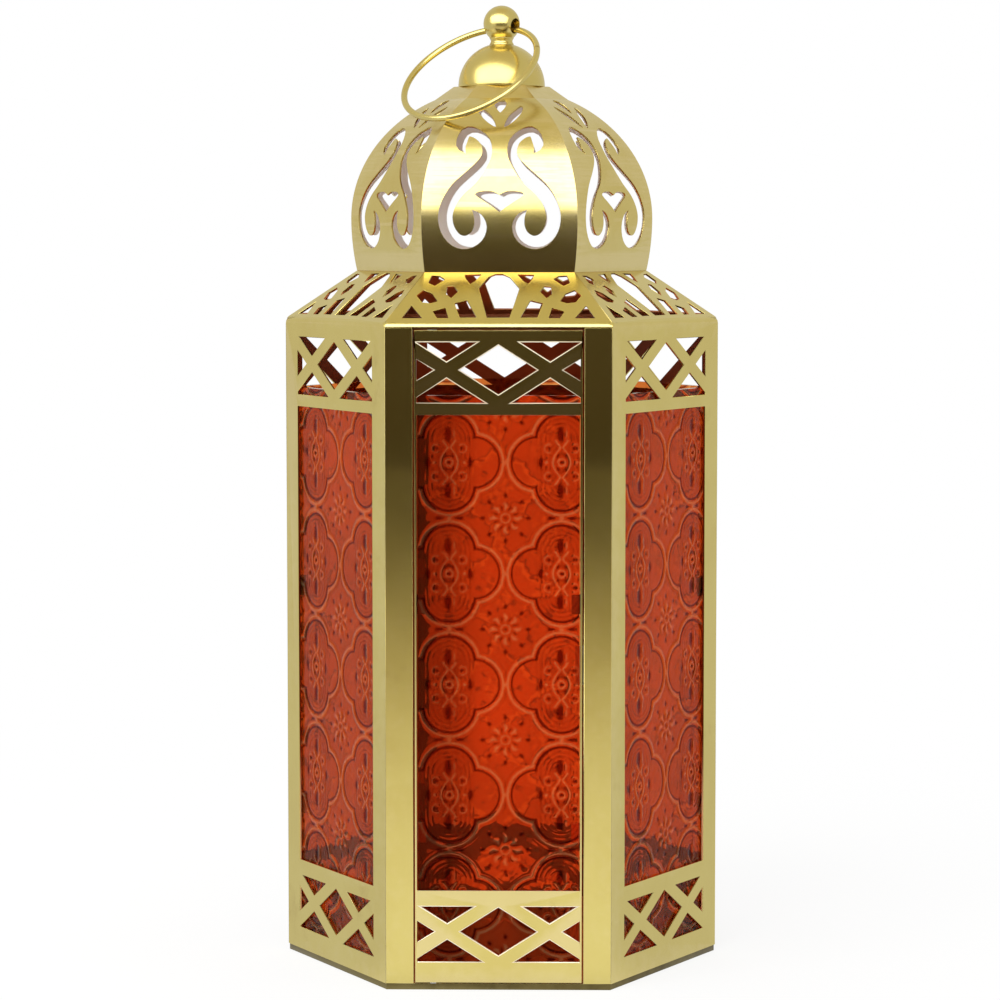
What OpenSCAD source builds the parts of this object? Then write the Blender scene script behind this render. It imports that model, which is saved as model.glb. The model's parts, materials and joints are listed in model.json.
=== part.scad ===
// Six-sided festive candle lantern: glazed sheet-metal walls, a hinged front door,
// a pierced roof and dome, and a hanging ring through the ball on top.
// Millimetres, +Z up, the door faces -Y, origin at the middle of the underside.

/* [Body] */
// Width across the flat sides
body_af = 120; // [100:1:150]
// Height of the walls
wall_h = 202; // [170:1:260]
// Thickness of the sheet metal
sheet_t = 0.6; // [0.5:0.05:0.8]
// Height of the base lip under the walls
lip_h = 1.9; // [1.5:0.1:4]
// Width of the corner post on each face
post_w = 8.5; // [7:0.5:12]

/* [Lattice] */
// Plain rail above the top lattice
top_rail_h = 4.5; // [2:0.5:8]
// Height of the top lattice
top_band_h = 18.4; // [14:0.2:24]
// Rail between the top lattice and the window
top_crossbar_h = 3.7; // [2.5:0.1:6]
// Plain rail under the bottom lattice
bottom_rail_h = 6.9; // [5:0.1:10]
// Height of the bottom lattice
bottom_band_h = 17.1; // [13:0.1:24]
// Rail between the bottom lattice and the window
bottom_crossbar_h = 5; // [2.5:0.1:7]
// Width of a lattice bar
bar_w = 4.3; // [2.5:0.1:5]
// Slope of the lattice bars in degrees
bar_angle = 32.5; // [28:0.5:40]
// Distance between the two crossings on a face
cross_spacing = 31.5; // [26:0.5:36]
// How far the crossings sit above the middle of their band
cross_rise = 0.8; // [0:0.1:1.5]

/* [Glass] */
// Thickness of the pressed glass
glass_t = 2.6; // [2:0.1:3]
// Height of the panes above the top crossbar
glass_over = 2.2; // [1:0.1:5]
// How far a wall pane reaches behind each post
glass_lap = 3.4; // [2.5:0.1:4]
// Width of a glass clip
clip_w = 6; // [4:0.5:9]
// Thickness of a glass clip
clip_t = 0.5; // [0.4:0.05:0.7]
// How far a clip reaches over the glass
clip_grip = 2.4; // [1.5:0.1:3]

/* [Door] */
// Side gap between the door and each post
door_gap = 0.5; // [0.45:0.05:0.8]
// Gap under the door
door_foot_gap = 0.35; // [0.25:0.05:0.6]
// Gap between the wall top and the door
door_head_gap = 0.9; // [0.85:0.05:1.5]
// Depth of the door's folded edges
door_fold = 5.5; // [5:0.1:8]
// Distance of the pivot from the door's left edge
pivot_inset = 5.5; // [5:0.1:7]
// Distance of the pivot behind the door's front
pivot_depth = 1.6; // [1.5:0.05:1.8]
// Radius of the pivot pins
pivot_r = 0.75; // [0.6:0.05:0.8]
// Running clearance round the pivot pins
pivot_play = 0.05; // [0.03:0.01:0.09]
// Height of the catch above the ground
catch_z = 100; // [60:1:140]
// Height of the catch strip
catch_h = 12; // [10:0.5:20]

/* [Roof] */
// Height of the roof's folded edge
eave_h = 1.3; // [0.9:0.1:3]
// Rise of the sloping roof
roof_rise = 15.1; // [10:0.5:25]
// Width across flats where the roof meets the dome
roof_top_af = 80.6; // [70:0.2:92]
// Width of the lip folded in at the top of the roof
roof_lip = 3.4; // [2.5:0.1:5]
// Width of the flat frame inside the eaves
eave_frame_w = 9; // [7:0.5:14]

/* [Dome] */
// Height of the dome's widest line above the roof
bulge_z = 16.7; // [12:0.1:22]
// How far the widest line stands out past the top of the roof
bulge_out = 1.4; // [0.6:0.1:4]
// Radius of the curve under the widest line
lower_r = 88; // [75:1:120]
// Height of the arched part above the widest line
arch_h = 37.6; // [30:0.2:42]
// Width across flats at the top of the arched part
shoulder_af = 36.8; // [34:0.2:44]
// Height of the steep neck under the cap
neck_h = 4.2; // [3:0.1:7]
// Width across flats of the neck's top
neck_af = 26.4; // [24:0.2:30]

/* [Top] */
// Radius of the round cap
cap_r = 13.8; // [12.5:0.1:15]
// Radius of the ball
ball_r = 5.8; // [5:0.1:7]
// Radius of the collar between cap and ball
collar_r = 3.9; // [3:0.1:4.5]
// Gap between the cap and the ball, where only the stem runs inside the collar
ball_gap = 0.3; // [0.2:0.05:2]
// Radius of the cross hole for the ring
ring_hole_r = 2.4; // [1.9:0.1:2.6]
// How far the cross hole lies below the ball's centre
ring_hole_drop = 0.8; // [0.4:0.1:1]
// Radius of the ball's stem
stem_r = 1.5; // [1.2:0.1:2]
// Width across flats of the nut under the dome
nut_af = 5.5; // [5:0.1:8]
// Height of the nut
nut_h = 2.4; // [1.8:0.1:3.5]

/* [Ring] */
// Radius of the hanging ring, to the middle of its wire
ring_r = 22.6; // [21:0.1:26]
// Radius of the ring's wire
ring_wire_r = 1; // [0.8:0.05:1.1]
// Compass direction in which the ring lies, in degrees
ring_azimuth = -124.7; // [-128:0.1:-116]
// Gap between the resting ring and the dome
ring_rest_gap = 0.3; // [0.2:0.05:0.6]
// Opening where the ends of the ring's wire meet
ring_split = 0.4; // [0.2:0.1:0.8]

/* [Candle] */
// Inner radius of the candle cup
cup_r = 21; // [18:0.5:30]
// Height of the candle cup
cup_h = 12; // [8:0.5:20]
// Height of the tabs that hold the walls to the base
tab_h = 4.6; // [3:0.1:6]
// Width of those tabs
tab_w = 8; // [5:0.5:12]

/* [Hidden] */
$fn = 64;

// Finishes
gold = [0.80, 0.72, 0.42];
old_gold = [0.55, 0.46, 0.22];
steel = [0.62, 0.60, 0.55];
amber = [0.76, 0.22, 0.06, 0.85];

// Shared fits and overruns
side_count = 6;
half_turn = 180 / side_count;
cut_over = 2 * sheet_t;
seat_gap = 0.1;
snug_gap = 0.02;
fine_step = 0.01;

// Body
body_a = body_af / 2;
wall_in_a = body_a - sheet_t;
side_w = body_af * tan(half_turn);
wall_z0 = lip_h;
wall_z1 = lip_h + wall_h;
opening_hw = side_w / 2 - post_w;
jamb_depth = door_fold - sheet_t;
reach = 2 * body_af;
tray_inset = sheet_t / 2;
tab_offset = opening_hw * 0.7;

// Lattice levels
bottom_band_z = wall_z0 + bottom_rail_h;
window_z0 = bottom_band_z + bottom_band_h + bottom_crossbar_h;
top_band_z = wall_z1 - top_rail_h - top_band_h;
window_z1 = top_band_z - top_crossbar_h;

// Glass
pane_hw = opening_hw + glass_lap;
pane_a1 = wall_in_a - seat_gap;
pane_a0 = pane_a1 - glass_t;
pane_z0 = wall_z0 + tab_h;
pane_z1 = top_band_z + glass_over;
clip_foot = 4 * clip_t;
clip_level_shares = [0.22, 0.62];

// Door
door_hw = opening_hw - door_gap;
door_z0 = wall_z0 + door_foot_gap;
door_z1 = wall_z1 - door_head_gap;
door_in_hw = door_hw - sheet_t;
door_pane_hw = door_in_hw - 3 * seat_gap;
door_pane_back = sheet_t + seat_gap + glass_t;
pivot_x = pivot_inset - door_hw;
pivot_y = pivot_depth - body_a;
pin_shoulder_r = 2 * pivot_r;
pin_tail = sheet_t / 2;
catch_t = clip_t;
catch_gap = 3 * seat_gap;
catch_depth0 = door_fold / 4;
catch_depth1 = door_fold + catch_gap;
catch_reach = 3.6 * sheet_t;
catch_rivet_r = 0.7;
catch_rivet_head_r = 1.3;
catch_rivet_step = catch_h / 4;
catch_rivet_depth = (catch_depth0 + jamb_depth) / 2;

// Roof
eave_z = wall_z1 + eave_h;
roof_z1 = eave_z + roof_rise;
roof_top_a = roof_top_af / 2;
roof_run = body_a - roof_top_a;
roof_slope = atan2(roof_rise, roof_run);
roof_len = norm([roof_rise, roof_run]);

// Dome
bulge_a = roof_top_a + bulge_out;
bulge_level = roof_z1 + bulge_z;
arch_drop = bulge_a - shoulder_af / 2;
arch_r = round((arch_h * arch_h + arch_drop * arch_drop) / (2 * arch_drop) / fine_step) * fine_step;
shoulder_a = bulge_a - arch_r + sqrt(arch_r * arch_r - arch_h * arch_h);
dome_foot_a = bulge_a - lower_r + sqrt(lower_r * lower_r - bulge_z * bulge_z);
shoulder_z = bulge_level + arch_h;
cap_z = shoulder_z + neck_h;
neck_a = neck_af / 2;
crown_lip = neck_a / 3;
dome_rise = cap_z - roof_z1;
gore_foot_hw = dome_foot_a * tan(half_turn);

// Top
ball_z = cap_z + cap_r + ball_gap + ball_r;
crown_r = neck_a - sheet_t;
crown_z = cap_z - sheet_t;
stem_z0 = crown_z - sheet_t - 1.5 * nut_h;
hole_z = ball_z - ring_hole_drop;
collar_z1 = ball_z - sqrt(ball_r * ball_r - collar_r * collar_r);

// Ring: its wire bends inside the hole, and it turns about the middle of that bend
ring_bend = ring_r - sqrt(ring_r * ring_r - ball_r * ball_r);
ring_off = ring_bend / 2;
ring_pivot_z = hole_z - ring_hole_r + ring_wire_r + ring_off + seat_gap;
ring_span = 2 * ring_r - ring_off;
ring_split_turn = 120;

// The ring at a drop angle: a point of its wire, its distance from the axis across the flats,
// and the smallest gap between the wire and the arched part of the dome
function ring_point(drop, turn) =
    let (out = ring_r - ring_off + ring_r * cos(turn), aside = ring_r * sin(turn))
    [out * cos(drop) * cos(ring_azimuth) - aside * sin(ring_azimuth),
     out * cos(drop) * sin(ring_azimuth) + aside * cos(ring_azimuth),
     ring_pivot_z - out * sin(drop)];
function across_flats(p) = max([for (k = [0 : side_count - 1])
    p[0] * cos(k * 360 / side_count - 90) + p[1] * sin(k * 360 / side_count - 90)]);
function ring_gap(drop) = min([for (turn = [-ring_front_turn : ring_turn_step : ring_front_turn])
    let (p = ring_point(drop, turn))
    norm([across_flats(p) - bulge_a + arch_r, p[2] - bulge_level]) - arch_r - ring_wire_r]);
function ring_settle(low, high, rounds) =
    rounds <= 0 ? low
    : ring_gap((low + high) / 2) > ring_rest_gap ? ring_settle((low + high) / 2, high, rounds - 1)
    : ring_settle(low, (low + high) / 2, rounds - 1);
ring_front_turn = 90;
ring_turn_step = 2;
ring_settle_rounds = 30;
ring_steepest = 80;
ring_drop = ring_settle(0, ring_steepest, ring_settle_rounds);

// Candle cup
cup_floor_z = wall_z0 + sheet_t;
cup_rivet_r = 1.4;
cup_rivet_head_r = 2.6;
cup_lip_r = 0.9;

// Roof openings on one half of a panel, as shares of half the panel's width there and of the slope
roof_opening_shares = [
    [[-0.879, 0.10], [-0.87, 0.35], [-0.693, 0.10]],
    [[-0.627, 0.23], [-0.521, 0.30], [-0.455, 0.10], [-0.558, 0.10]],
    [[-0.447, 0.39], [-0.329, 0.45], [-0.197, 0.11], [-0.353, 0.11]],
    [[-0.887, 0.54], [-0.852, 0.65], [-0.729, 0.58], [-0.629, 0.43], [-0.688, 0.39], [-0.786, 0.41]],
    [[-0.602, 0.72], [-0.526, 0.73], [-0.452, 0.62], [-0.501, 0.49], [-0.578, 0.57]],
    [[-0.868, 0.94], [-0.763, 0.93], [-0.669, 0.86], [-0.75, 0.73], [-0.851, 0.79]],
    [[-0.451, 0.95], [-0.234, 0.96], [-0.301, 0.82], [-0.348, 0.77], [-0.422, 0.88]]
];
roof_middle_shares = [
    [-0.104, 0.11], [-0.233, 0.69], [-0.135, 0.91], [-0.044, 0.97],
    [0.044, 0.97], [0.135, 0.91], [0.233, 0.69], [0.104, 0.11]
];

// Gore openings, as shares of half the gore's foot and of the dome's rise
scroll_spine_shares = [
    [0.45, 0.626, 0], [0.515, 0.672, 0.068], [0.455, 0.738, 0.070], [0.33, 0.738, 0.070],
    [0.20, 0.695, 0.070], [0.167, 0.629, 0.064], [0.235, 0.570, 0.074], [0.375, 0.502, 0.100],
    [0.555, 0.436, 0.101], [0.67, 0.367, 0.098], [0.72, 0.297, 0.096], [0.69, 0.227, 0.096],
    [0.585, 0.172, 0.092], [0.44, 0.158, 0.088], [0.305, 0.189, 0.090], [0.253, 0.242, 0.084],
    [0.287, 0.293, 0.054], [0.365, 0.328, 0]
];
heart_half_shares = [
    [0, 0.409], [0.06, 0.421], [0.125, 0.428], [0.265, 0.425],
    [0.325, 0.408], [0.205, 0.375], [0.085, 0.343], [0, 0.318]
];
drop_half_shares = [
    [0, 0.921], [0.05, 0.918], [0.082, 0.898], [0.055, 0.870], [0, 0.847]
];
leaf_shares = [
    [0.305, 0.873], [0.275, 0.884], [0.20, 0.862], [0.115, 0.830],
    [0.05, 0.769], [0.14, 0.786], [0.225, 0.815], [0.285, 0.846]
];

// A point between p1 and p2 on the smooth line through four points
function on_curve(p0, p1, p2, p3, s) =
    0.5 * (2 * p1 + (p2 - p0) * s + (2 * p0 - 5 * p1 + 4 * p2 - p3) * s * s
           + (3 * p1 - p0 - 3 * p2 + p3) * s * s * s);
function smooth_line(p, steps) = [
    for (i = [0 : len(p) - 2], k = [0 : steps - 1])
        on_curve(p[max(i - 1, 0)], p[i], p[i + 1], p[min(i + 2, len(p) - 1)], k / steps),
    p[len(p) - 1]
];
function smooth_loop(p, steps) = let (n = len(p)) [
    for (i = [0 : n - 1], k = [0 : steps - 1])
        on_curve(p[(i + n - 1) % n], p[i], p[(i + 1) % n], p[(i + 2) % n], k / steps)
];

// Outline of a stroke: a smooth spine of [across, up, half width], offset to both sides
function stroke_side(line, side) = [
    for (i = [0 : len(line) - 1])
        let (ahead = line[min(i + 1, len(line) - 1)], back = line[max(i - 1, 0)],
             run = [ahead[0] - back[0], ahead[1] - back[1]],
             away = [-run[1], run[0]] / norm(run))
        [line[i][0], line[i][1]] + side * line[i][2] * away
];
function backwards(p) = [for (i = [len(p) - 1 : -1 : 0]) p[i]];
function inner_points(p) = [for (i = [1 : len(p) - 2]) p[i]];
function mirrored(half) = concat(half, [for (p = backwards(inner_points(half))) [-p[0], p[1]]]);

scroll_spine = smooth_line([for (s = scroll_spine_shares)
    [s[0] * gore_foot_hw, s[1] * dome_rise, s[2] * gore_foot_hw]], 3);
scroll_outline = concat(stroke_side(scroll_spine, 1), backwards(inner_points(stroke_side(scroll_spine, -1))));

// Turns a face so that it looks outwards on side k, counted from the door
module on_side(k) rotate([0, 0, k * 360 / side_count - 90]) children();

// The slice of the lantern that belongs to one side, with mitred edges
module side_slice(z0, z1) {
    translate([0, 0, z0]) linear_extrude(z1 - z0)
        polygon([[0, 0], [reach, -reach * tan(half_turn)], [reach, reach * tan(half_turn)]]);
}

// A flat drawing set upright, its back at distance a from the middle
module upright(a, t) translate([a, 0, 0]) rotate([90, 0, 90]) linear_extrude(t) children();

module hex_plate(a, z0, z1) {
    translate([0, 0, z0]) cylinder(r = a / cos(half_turn), h = z1 - z0, $fn = side_count);
}

// Openings that the crossed bars leave in one lattice band
module lattice_holes(z0, band_h, hole_hw) {
    difference() {
        translate([-hole_hw, z0]) square([2 * hole_hw, band_h]);
        for (side = [-1, 1], lean = [-1, 1])
            translate([side * cross_spacing / 2, z0 + band_h / 2 + cross_rise])
                rotate(lean * bar_angle)
                    square([2 * cross_spacing, bar_w], center = true);
    }
}

// One glazed face: rails, crossed bars and the window between them
module face_drawing(half_w, z0, z1, hole_hw) {
    difference() {
        translate([-half_w, z0]) square([2 * half_w, z1 - z0]);
        translate([-hole_hw, window_z0]) square([2 * hole_hw, window_z1 - window_z0]);
        lattice_holes(bottom_band_z, bottom_band_h, hole_hw);
        lattice_holes(top_band_z, top_band_h, hole_hw);
    }
}

// Places for the two small rivets of the catch
module at_catch_rivets() {
    for (step = [-1, 1])
        translate([opening_hw, catch_rivet_depth - body_a, catch_z + step * catch_rivet_step])
            rotate([0, 90, 0]) children();
}

module base_tray() color(old_gold) {
    tray_a = body_a - tray_inset;
    difference() {
        hex_plate(tray_a, 0, lip_h);
        hex_plate(tray_a - sheet_t, -cut_over, lip_h - sheet_t);
        translate([pivot_x, pivot_y, -cut_over])
            cylinder(r = pivot_r + pivot_play, h = lip_h + 2 * cut_over);
        translate([0, 0, -cut_over])
            cylinder(r = cup_rivet_r + snug_gap, h = lip_h + 2 * cut_over);
    }
    for (k = [1 : side_count - 1], side = [-1, 1])
        on_side(k)
            translate([wall_in_a - sheet_t, side * tab_offset - tab_w / 2, lip_h - sheet_t / 2])
                cube([sheet_t, tab_w, tab_h + sheet_t / 2]);
}

module candle_cup() color(steel) {
    translate([0, 0, wall_z0]) difference() {
        union() {
            cylinder(r = cup_r + sheet_t, h = cup_h);
            translate([0, 0, cup_h]) rotate_extrude()
                translate([cup_r + cup_lip_r, 0]) circle(r = cup_lip_r);
        }
        translate([0, 0, sheet_t]) cylinder(r = cup_r, h = cup_h + cut_over);
        translate([0, 0, -cut_over]) cylinder(r = cup_rivet_r + snug_gap, h = sheet_t + 2 * cut_over);
    }
}

module cup_rivet() color(steel) {
    translate([0, 0, lip_h - 2 * sheet_t]) {
        cylinder(r = cup_rivet_head_r, h = sheet_t);
        cylinder(r = cup_rivet_r, h = 3 * sheet_t);
    }
}

module wall_panel(k) color(gold) {
    post = k == 1 ? 1 : k == side_count - 1 ? -1 : 0;
    on_side(k) intersection() {
        side_slice(wall_z0, wall_z1);
        upright(wall_in_a, sheet_t) face_drawing(side_w / 2, wall_z0, wall_z1, opening_hw);
    }
    if (post != 0)
        difference() {
            union() {
                translate([post > 0 ? opening_hw : -side_w / 2, -body_a, wall_z0])
                    cube([post_w, sheet_t, wall_h]);
                translate([post > 0 ? opening_hw : -opening_hw - sheet_t, -body_a, wall_z0])
                    cube([sheet_t, jamb_depth, wall_h]);
            }
            if (post > 0)
                at_catch_rivets()
                    translate([0, 0, -cut_over])
                        cylinder(r = catch_rivet_r + snug_gap, h = sheet_t + 2 * cut_over);
        }
}

module glass_pane(k) color(amber) {
    on_side(k) translate([pane_a0, -pane_hw, pane_z0])
        cube([glass_t, 2 * pane_hw, pane_z1 - pane_z0]);
}

// A bent strip: its foot lies on the wall beside the pane, its hook behind the pane
module glass_clip() {
    hook_a = pane_a0 - seat_gap - clip_t;
    riser_y = pane_hw + seat_gap;
    translate([wall_in_a - clip_t, riser_y, 0]) cube([clip_t, clip_foot, clip_w]);
    translate([hook_a, riser_y, 0]) cube([wall_in_a - hook_a, clip_t, clip_w]);
    translate([hook_a, pane_hw - clip_grip, 0]) cube([clip_t, clip_grip + seat_gap + clip_t, clip_w]);
}

module glass_clips() color(old_gold) {
    for (k = [1 : side_count - 1], share = clip_level_shares, side = [0, 1])
        on_side(k) translate([0, 0, pane_z0 + share * (pane_z1 - pane_z0)])
            mirror([0, side, 0]) glass_clip();
}

module door_frame() color(gold) {
    difference() {
        translate([-door_hw, -body_a, door_z0]) cube([2 * door_hw, door_fold, door_z1 - door_z0]);
        translate([-door_in_hw, -wall_in_a, door_z0 + sheet_t])
            cube([2 * door_in_hw, door_fold, door_z1 - door_z0 - 2 * sheet_t]);
        rotate([0, 0, -90]) upright(wall_in_a - cut_over, sheet_t + 2 * cut_over) {
            translate([-door_in_hw, window_z0]) square([2 * door_in_hw, window_z1 - window_z0]);
            lattice_holes(bottom_band_z, bottom_band_h, door_in_hw);
            lattice_holes(top_band_z, top_band_h, door_in_hw);
        }
        for (z = [door_z0, door_z1 - sheet_t])
            translate([pivot_x, pivot_y, z - cut_over])
                cylinder(r = pivot_r + snug_gap, h = sheet_t + 2 * cut_over);
    }
}

module door_glass() color(amber) {
    translate([-door_pane_hw, -pane_a1, door_z0 + sheet_t + seat_gap])
        cube([2 * door_pane_hw, glass_t, pane_z1 - door_z0 - sheet_t - seat_gap]);
}

module door_clips() color(old_gold) {
    hook_y = door_pane_back + seat_gap - body_a;
    for (share = clip_level_shares, side = [0, 1])
        mirror([side, 0, 0]) translate([0, hook_y, pane_z0 + share * (pane_z1 - pane_z0)]) {
            translate([door_pane_hw - clip_grip, 0, 0])
                cube([door_in_hw - door_pane_hw + clip_grip, clip_t, clip_w]);
            translate([door_in_hw - clip_t, 0, 0])
                cube([clip_t, door_fold - door_pane_back - 2 * seat_gap, clip_w]);
        }
}

// A pin: its shank fills the door's folded edge, its shoulder spaces the door off
module hinge_pin(z, way, gap, tail) color(steel) {
    translate([pivot_x, pivot_y, z]) mirror([0, 0, way < 0 ? 1 : 0]) {
        translate([0, 0, -sheet_t]) cylinder(r = pivot_r, h = sheet_t + gap + sheet_t + tail);
        cylinder(r = pin_shoulder_r, h = gap - pivot_play);
    }
}

module hinge_pin_top() hinge_pin(door_z1, 1, door_head_gap - sheet_t, pin_tail);
module hinge_pin_bottom() hinge_pin(door_z0, -1, door_foot_gap, pin_tail);

// A bent strip behind the right-hand post that stops and holds the closed door
module door_catch() color(steel) {
    strip_x = opening_hw + sheet_t;
    hook_x = door_hw - catch_reach;
    difference() {
        union() {
            translate([strip_x, catch_depth0 - body_a, catch_z - catch_h / 2])
                cube([catch_t, catch_depth1 + catch_t - catch_depth0, catch_h]);
            translate([hook_x, catch_depth1 - body_a, catch_z - catch_h / 2])
                cube([strip_x + catch_t - hook_x, catch_t, catch_h]);
        }
        at_catch_rivets()
            translate([0, 0, sheet_t / 2]) cylinder(r = catch_rivet_r + snug_gap, h = sheet_t + catch_t);
    }
}

module catch_rivets() color(steel) {
    at_catch_rivets() {
        cylinder(r = catch_rivet_r, h = sheet_t + catch_t + clip_t);
        translate([0, 0, sheet_t + catch_t]) cylinder(r = catch_rivet_head_r, h = clip_t);
    }
}

module eave_frame() color(old_gold) {
    difference() {
        hex_plate(wall_in_a, wall_z1 - sheet_t, wall_z1);
        hex_plate(wall_in_a - eave_frame_w, wall_z1 - sheet_t - cut_over, wall_z1 + cut_over);
        translate([pivot_x, pivot_y, wall_z1 - sheet_t - cut_over])
            cylinder(r = pivot_r + pivot_play, h = sheet_t + 2 * cut_over);
    }
}

// A point of a roof panel, from its share of the half width there and of the slope
function on_roof(share) =
    [share[0] * (body_a - share[1] * roof_run) * tan(half_turn), share[1] * roof_len];

module roof_openings() {
    for (hole = roof_opening_shares, side = [-1, 1])
        polygon([for (s = hole) on_roof([side * s[0], s[1]])]);
    polygon([for (s = roof_middle_shares) on_roof(s)]);
}

module roof_panel(k) color(gold) {
    on_side(k) intersection() {
        side_slice(wall_z1, roof_z1);
        union() {
            translate([body_a - sheet_t, -side_w / 2, wall_z1]) cube([sheet_t, side_w, eave_h]);
            translate([body_a, 0, eave_z]) rotate([0, roof_slope - 90, 0])
                difference() {
                    translate([-sheet_t, -side_w / 2, 0]) cube([sheet_t, side_w, roof_len]);
                    upright(-sheet_t - cut_over, sheet_t + 2 * cut_over) roof_openings();
                }
            translate([roof_top_a - roof_lip, -side_w / 2, roof_z1 - sheet_t])
                cube([roof_lip - sheet_t * sin(roof_slope) / 2, side_w, sheet_t]);
        }
    }
}

// Cross-section of a gore: two arcs, the steep neck and the lip folded in under the cap
module gore_section() {
    neck_run = [neck_a - shoulder_a, neck_h];
    neck_skin = sheet_t * norm(neck_run) / neck_h;
    intersection() {
        translate([bulge_a - lower_r, bulge_level]) difference() {
            circle(r = lower_r);
            circle(r = lower_r - sheet_t);
        }
        translate([0, roof_z1]) square([bulge_a, bulge_z]);
    }
    intersection() {
        translate([bulge_a - arch_r, bulge_level]) difference() {
            circle(r = arch_r);
            circle(r = arch_r - sheet_t);
        }
        translate([shoulder_a - neck_skin, bulge_level]) square([bulge_a, arch_h]);
    }
    polygon([
        [shoulder_a, shoulder_z], [neck_a, cap_z],
        [neck_a - neck_skin, cap_z], [shoulder_a - neck_skin, shoulder_z]
    ]);
    translate([neck_a - crown_lip, cap_z - sheet_t]) square([crown_lip - neck_skin / 2, sheet_t]);
}

module gore_openings() {
    for (side = [-1, 1]) {
        polygon([for (p = scroll_outline) [side * p[0], p[1]]]);
        polygon([for (p = smooth_loop(leaf_shares, 2)) [side * p[0] * gore_foot_hw, p[1] * dome_rise]]);
    }
    for (half = [heart_half_shares, drop_half_shares])
        polygon([for (p = mirrored(smooth_line(half, 2))) [p[0] * gore_foot_hw, p[1] * dome_rise]]);
}

module dome_gore(k) color(gold) {
    on_side(k) intersection() {
        side_slice(roof_z1, cap_z);
        difference() {
            translate([0, side_w / 2, 0]) rotate([90, 0, 0]) linear_extrude(side_w) gore_section();
            translate([neck_a, 0, roof_z1]) upright(0, body_a) gore_openings();
        }
    }
}

module crown_plate() color(old_gold) {
    difference() {
        translate([0, 0, crown_z - sheet_t]) cylinder(r = crown_r - sheet_t, h = sheet_t);
        translate([0, 0, crown_z - sheet_t - cut_over])
            cylinder(r = stem_r + seat_gap, h = sheet_t + 2 * cut_over);
    }
}

module cap() color(gold) {
    translate([0, 0, cap_z]) difference() {
        sphere(r = cap_r);
        sphere(r = cap_r - sheet_t);
        translate([0, 0, -2 * cap_r]) cylinder(r = 2 * cap_r, h = 2 * cap_r);
        cylinder(r = stem_r + seat_gap, h = 2 * cap_r);
    }
}

module neck_collar() color(gold) {
    difference() {
        translate([0, 0, cap_z + cap_r / 2]) cylinder(r = collar_r, h = collar_z1 - cap_z - cap_r / 2);
        translate([0, 0, cap_z]) sphere(r = cap_r);
        translate([0, 0, ball_z]) sphere(r = ball_r);
        translate([0, 0, cap_z]) cylinder(r = stem_r + seat_gap, h = ball_z - cap_z);
    }
}

module finial_ball() color(gold) {
    difference() {
        union() {
            translate([0, 0, ball_z]) sphere(r = ball_r);
            translate([0, 0, stem_z0]) cylinder(r = stem_r, h = ball_z - ball_r / 2 - stem_z0);
        }
        translate([0, 0, hole_z]) rotate([0, 0, ring_azimuth]) rotate([90, 0, 0])
            cylinder(r = ring_hole_r, h = 4 * ball_r, center = true);
    }
}

module finial_nut() color(steel) {
    translate([0, 0, crown_z - sheet_t - nut_h]) difference() {
        cylinder(d = nut_af / cos(half_turn), h = nut_h, $fn = side_count);
        translate([0, 0, -cut_over]) cylinder(r = stem_r + snug_gap, h = nut_h + 2 * cut_over);
    }
}

module hanging_ring() color(gold) {
    split = 2 * asin(ring_split / 2 / ring_r);
    translate([0, 0, ring_pivot_z]) rotate([0, 0, ring_azimuth]) rotate([0, ring_drop, 0])
        translate([ring_r - ring_off, 0, 0]) rotate([0, 0, ring_split_turn + split / 2])
            rotate_extrude(angle = 360 - split) translate([ring_r, 0]) circle(r = ring_wire_r);
}

base_tray();
candle_cup();
cup_rivet();
wall_panel(1);  // wall_panel_1
wall_panel(2);  // wall_panel_2
wall_panel(3);  // wall_panel_3
wall_panel(4);  // wall_panel_4
wall_panel(5);  // wall_panel_5
glass_pane(1);  // glass_pane_1
glass_pane(2);  // glass_pane_2
glass_pane(3);  // glass_pane_3
glass_pane(4);  // glass_pane_4
glass_pane(5);  // glass_pane_5
glass_clips();
door_frame();
door_glass();
door_clips();
hinge_pin_top();
hinge_pin_bottom();
door_catch();
catch_rivets();
eave_frame();
roof_panel(0);  // roof_panel_1
roof_panel(1);  // roof_panel_2
roof_panel(2);  // roof_panel_3
roof_panel(3);  // roof_panel_4
roof_panel(4);  // roof_panel_5
roof_panel(5);  // roof_panel_6
dome_gore(0);  // dome_gore_1
dome_gore(1);  // dome_gore_2
dome_gore(2);  // dome_gore_3
dome_gore(3);  // dome_gore_4
dome_gore(4);  // dome_gore_5
dome_gore(5);  // dome_gore_6
crown_plate();
cap();
neck_collar();
finial_ball();
finial_nut();
hanging_ring();
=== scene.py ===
import bmesh
import bpy
import json
import math
import numpy as np
from mathutils import Matrix, Vector


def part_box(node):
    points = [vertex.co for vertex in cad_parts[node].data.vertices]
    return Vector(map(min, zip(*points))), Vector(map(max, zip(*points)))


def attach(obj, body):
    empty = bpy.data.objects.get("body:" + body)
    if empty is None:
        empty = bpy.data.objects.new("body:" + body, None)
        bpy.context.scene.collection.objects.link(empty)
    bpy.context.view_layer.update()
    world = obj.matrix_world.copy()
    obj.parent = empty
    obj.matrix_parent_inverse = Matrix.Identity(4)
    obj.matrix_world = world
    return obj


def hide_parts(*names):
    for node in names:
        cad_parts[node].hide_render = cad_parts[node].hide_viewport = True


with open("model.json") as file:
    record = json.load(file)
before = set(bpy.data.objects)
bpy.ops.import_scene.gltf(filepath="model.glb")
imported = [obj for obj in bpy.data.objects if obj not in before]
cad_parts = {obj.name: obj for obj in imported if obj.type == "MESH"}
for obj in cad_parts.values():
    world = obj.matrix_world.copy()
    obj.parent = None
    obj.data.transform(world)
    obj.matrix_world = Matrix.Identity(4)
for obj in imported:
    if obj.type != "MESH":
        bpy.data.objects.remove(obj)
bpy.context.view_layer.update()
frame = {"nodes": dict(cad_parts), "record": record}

bpy.ops.object.select_all(action="DESELECT")
scene = bpy.context.scene
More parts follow.
